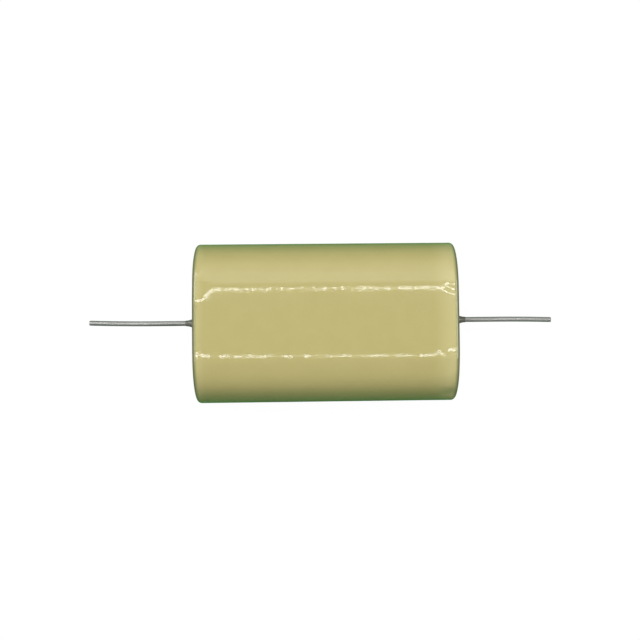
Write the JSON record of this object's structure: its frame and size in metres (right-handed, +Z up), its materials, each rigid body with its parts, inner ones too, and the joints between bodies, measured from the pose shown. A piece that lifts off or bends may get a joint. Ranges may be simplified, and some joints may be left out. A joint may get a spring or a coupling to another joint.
{
  "type": "film capacitor",
  "caption": "Axial film capacitor with a flat oval body wrapped in glossy tan tape, resin-filled ends and tinned wire leads, for storing charge in a circuit.",
  "frame": {"origin": "middle of the flat underside of the body", "axes": "+X along the leads, +Y across the width of the flat oval, +Z up out of the broad face"},
  "size_m": [0.0921, 0.0314, 0.02],
  "materials": {
    "film": "metallised film",
    "sprayed_metal": "rough sprayed zinc",
    "tinned_wire": "tinned, slightly dulled",
    "solder": "satin",
    "tape": "glossy polyester tape",
    "resin": "semi-gloss poured resin"
  },
  "bodies": {
    "root": {"wound_film": "film", "end_spray_left": "sprayed_metal", "end_spray_right": "sprayed_metal", "lead_left": "tinned_wire", "lead_right": "tinned_wire", "solder_left": "solder", "solder_right": "solder", "tape_wrap": "tape", "end_seal_left": "resin", "end_seal_right": "resin"}
  },
  "joints": []
}
